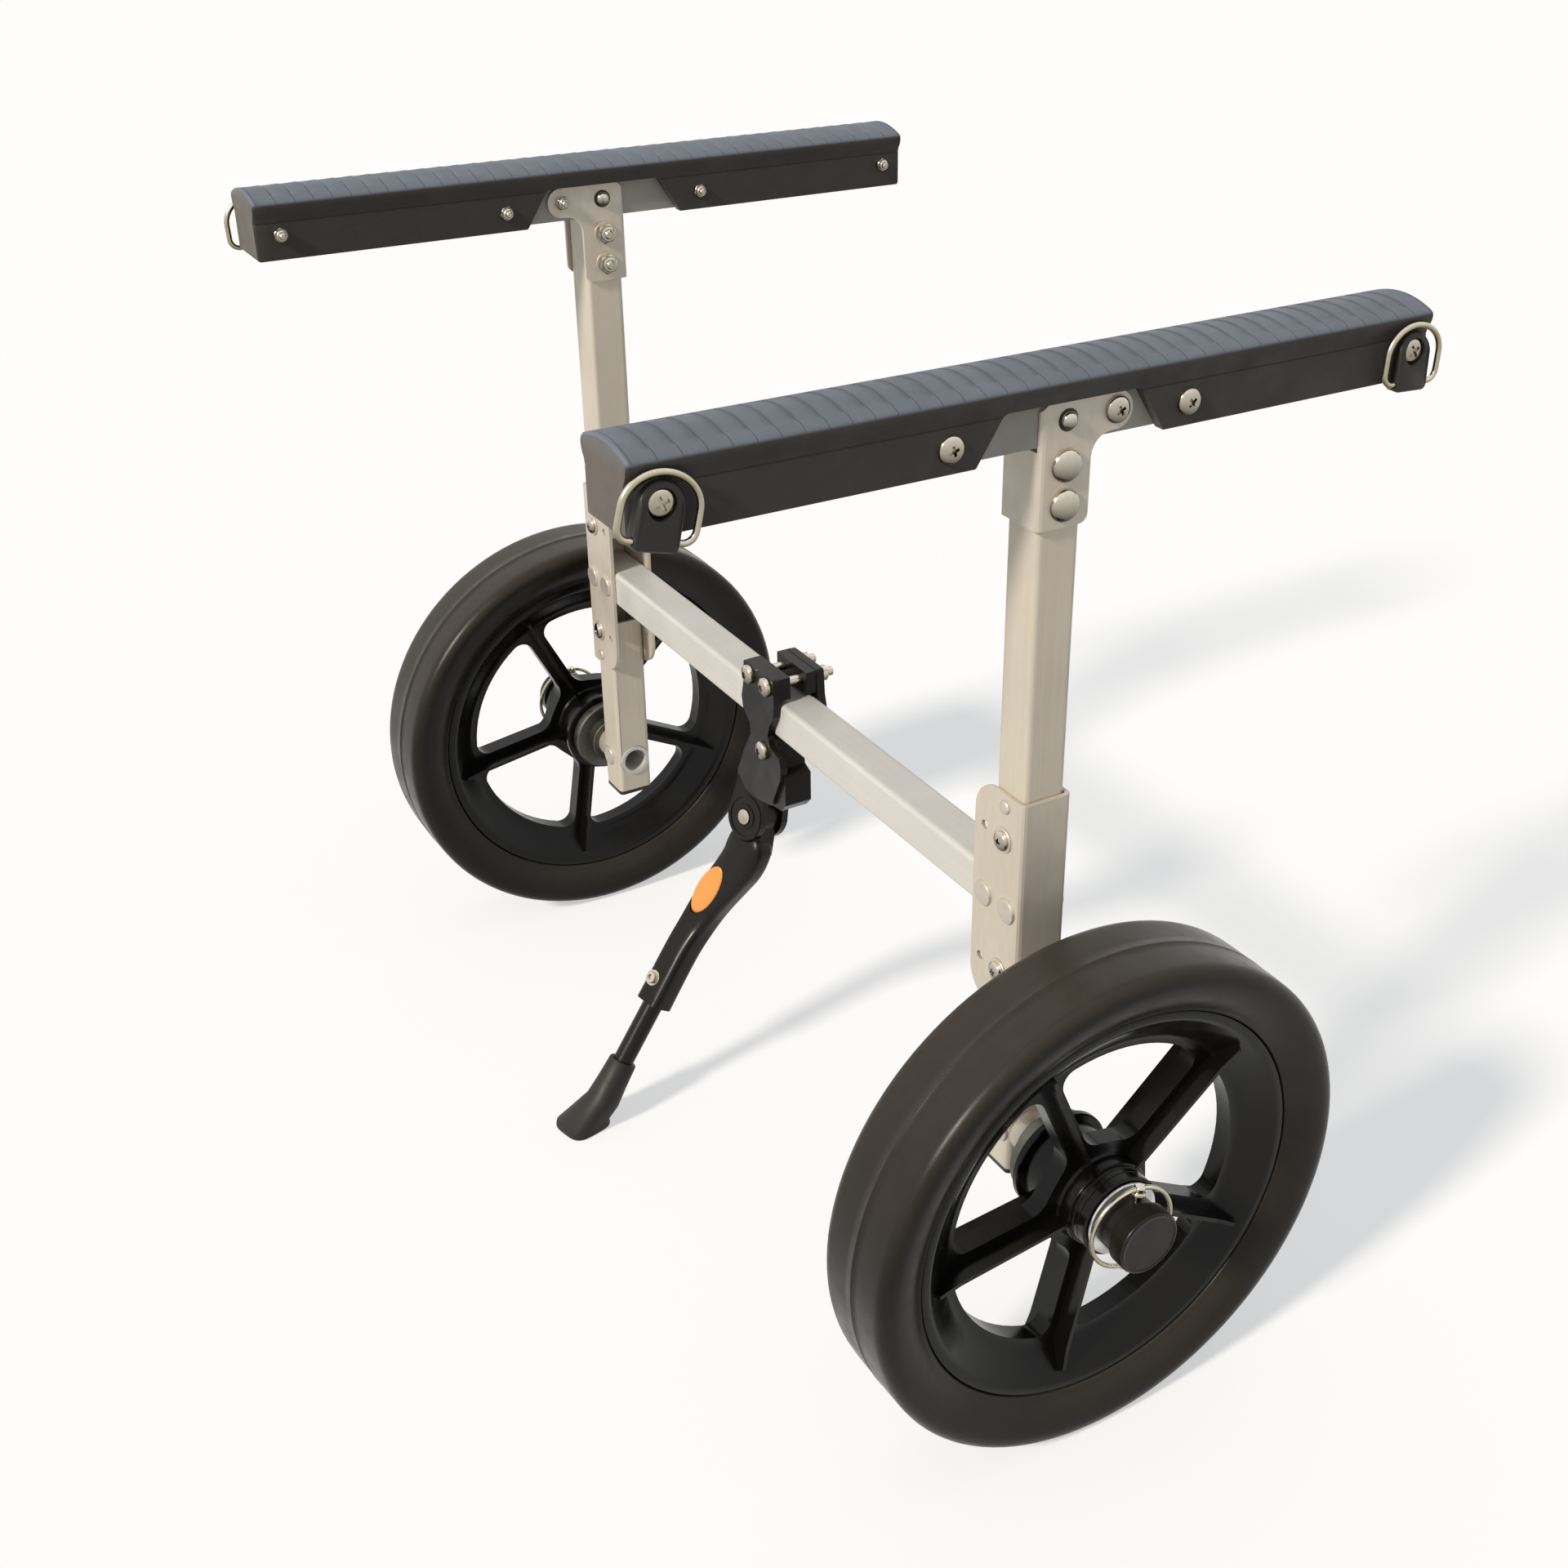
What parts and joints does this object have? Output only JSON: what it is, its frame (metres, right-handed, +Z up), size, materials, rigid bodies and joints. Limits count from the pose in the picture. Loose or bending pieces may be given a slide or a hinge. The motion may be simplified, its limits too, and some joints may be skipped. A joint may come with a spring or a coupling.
{
  "type": "kayak trailer",
  "caption": "Two-wheeled hand trailer for a kayak: a crossbar between posts that carry rubber-topped bunks with tie rings, and a folding stand clamped to the crossbar.",
  "frame": {"origin": "on the ground, midway between the wheels, below the crossbar", "axes": "+X along the bunks in the direction of travel, +Y along the crossbar, +Z up"},
  "size_m": [0.468, 0.76, 0.5985],
  "materials": {
    "alloy": "satin",
    "steel": "satin",
    "zinc": "satin",
    "grey_paint": "satin",
    "pad_rubber": "matte",
    "black_plastic": "satin",
    "tyre_rubber": "matte",
    "stand_coat": "satin",
    "orange_plastic": "satin"
  },
  "bodies": {
    "frame": {"crossbar": "alloy", "post_near": "alloy", "leg_near": "alloy", "leg_cap_near": "black_plastic", "frame_bracket_near": "steel", "top_bracket_near": "steel", "bunk_channel_near": "grey_paint", "bunk_cover_near": "pad_rubber", "axle_near": "alloy", "axle_collar_near": "steel", "axle_bush_near": "black_plastic", "axle_washer_near": "zinc", "axle_pin_near": "zinc", "axle_cap_near": "black_plastic", "post_far": "alloy", "leg_far": "alloy", "leg_cap_far": "black_plastic", "frame_bracket_far": "steel", "top_bracket_far": "steel", "bunk_channel_far": "grey_paint", "bunk_cover_far": "pad_rubber", "axle_far": "alloy", "axle_collar_far": "steel", "axle_bush_far": "black_plastic", "axle_washer_far": "zinc", "axle_pin_far": "zinc", "axle_cap_far": "black_plastic", "ring_clip_near_left": "black_plastic", "ring_clip_near_right": "black_plastic", "ring_clip_far_left": "black_plastic", "ring_clip_far_right": "black_plastic", "stand_arm": "stand_coat", "stand_rear_jaw": "stand_coat", "stand_bolt_upper_left": "steel", "stand_bolt_upper_right": "steel", "stand_bolt_lower": "steel", "stand_pin": "steel"},
    "wheel_near": {"tyre_near": "tyre_rubber", "rim_near": "black_plastic"},
    "wheel_far": {"tyre_far": "tyre_rubber", "rim_far": "black_plastic"},
    "stand_leg": {"stand_leg": "stand_coat", "stand_insert": "orange_plastic"},
    "stand_rod": {"stand_rod": "stand_coat", "stand_foot": "black_plastic"},
    "ring_near_left": {"tie_ring_near_left": "zinc"},
    "ring_near_right": {"tie_ring_near_right": "zinc"},
    "ring_far_left": {"tie_ring_far_left": "zinc"},
    "ring_far_right": {"tie_ring_far_right": "zinc"}
  },
  "joints": [
    {"name": "wheel_near_spin", "type": "hinge", "parent": "frame", "child": "wheel_near", "pos_m": [0, -0.3275, 0.1525], "axis": [0, 1, 0], "continuous": true},
    {"name": "wheel_far_spin", "type": "hinge", "parent": "frame", "child": "wheel_far", "pos_m": [0, 0.3275, 0.1525], "axis": [0, 1, 0], "continuous": true},
    {"name": "stand_fold", "type": "hinge", "parent": "frame", "child": "stand_leg", "pos_m": [-0.0108, 0.0261, 0.2154], "axis": [-0.935, -0.2321, 0.2681], "range_deg": [0, 80]},
    {"name": "stand_length", "type": "slide", "parent": "stand_leg", "child": "stand_rod", "axis": [-0.5915, -0.074, -0.8029], "range_m": [-0.012, 0.01]},
    {"name": "ring_near_left_swing", "type": "hinge", "parent": "frame", "child": "ring_near_left", "pos_m": [-0.21694, -0.2808, 0.55918], "axis": [0.9703, 0, -0.2419], "range_deg": [0, 180]},
    {"name": "ring_near_right_swing", "type": "hinge", "parent": "frame", "child": "ring_near_right", "pos_m": [0.21215, -0.2808, 0.55872], "axis": [0.9986, 0, -0.0523], "range_deg": [0, 180]},
    {"name": "ring_far_left_swing", "type": "hinge", "parent": "frame", "child": "ring_far_left", "pos_m": [-0.21243, 0.2808, 0.55871], "axis": [-0.9994, 0, -0.0349], "range_deg": [0, 180]},
    {"name": "ring_far_right_swing", "type": "hinge", "parent": "frame", "child": "ring_far_right", "pos_m": [0.21243, 0.2808, 0.55871], "axis": [-0.9994, 0, 0.0349], "range_deg": [0, 180]}
  ]
}
